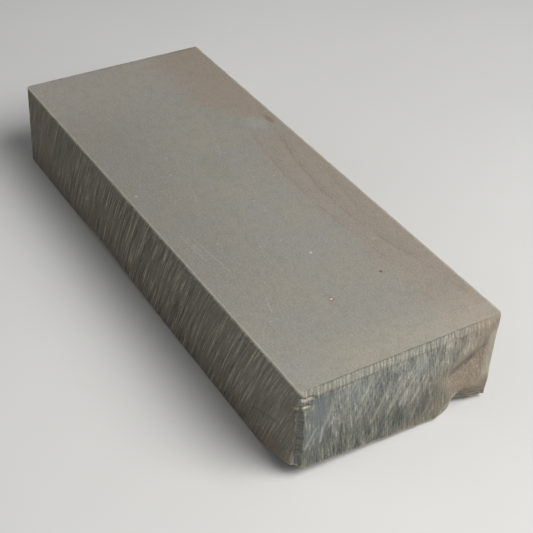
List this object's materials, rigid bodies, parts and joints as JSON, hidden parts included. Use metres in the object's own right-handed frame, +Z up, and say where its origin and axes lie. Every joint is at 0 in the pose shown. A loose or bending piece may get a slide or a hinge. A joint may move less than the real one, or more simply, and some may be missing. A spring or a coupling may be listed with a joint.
{
  "type": "sharpening whetstone",
  "caption": "Rectangular natural bench whetstone for honing edge tools, with a flat lapped face, sawn sides and a chipped lower end that rests on a flat underside.",
  "frame": {"origin": "middle of the bounding box, on the plane that the underside rests on", "axes": "+X along the length towards the end with the flake scar, +Y across the width towards the back long side, +Z up towards the sharpening face"},
  "size_m": [0.1946, 0.075, 0.0358],
  "materials": {
    "whetstone_stone": "lapped matte face, sawn matte sides"
  },
  "bodies": {
    "root": {"stone_block": "whetstone_stone"}
  },
  "joints": []
}
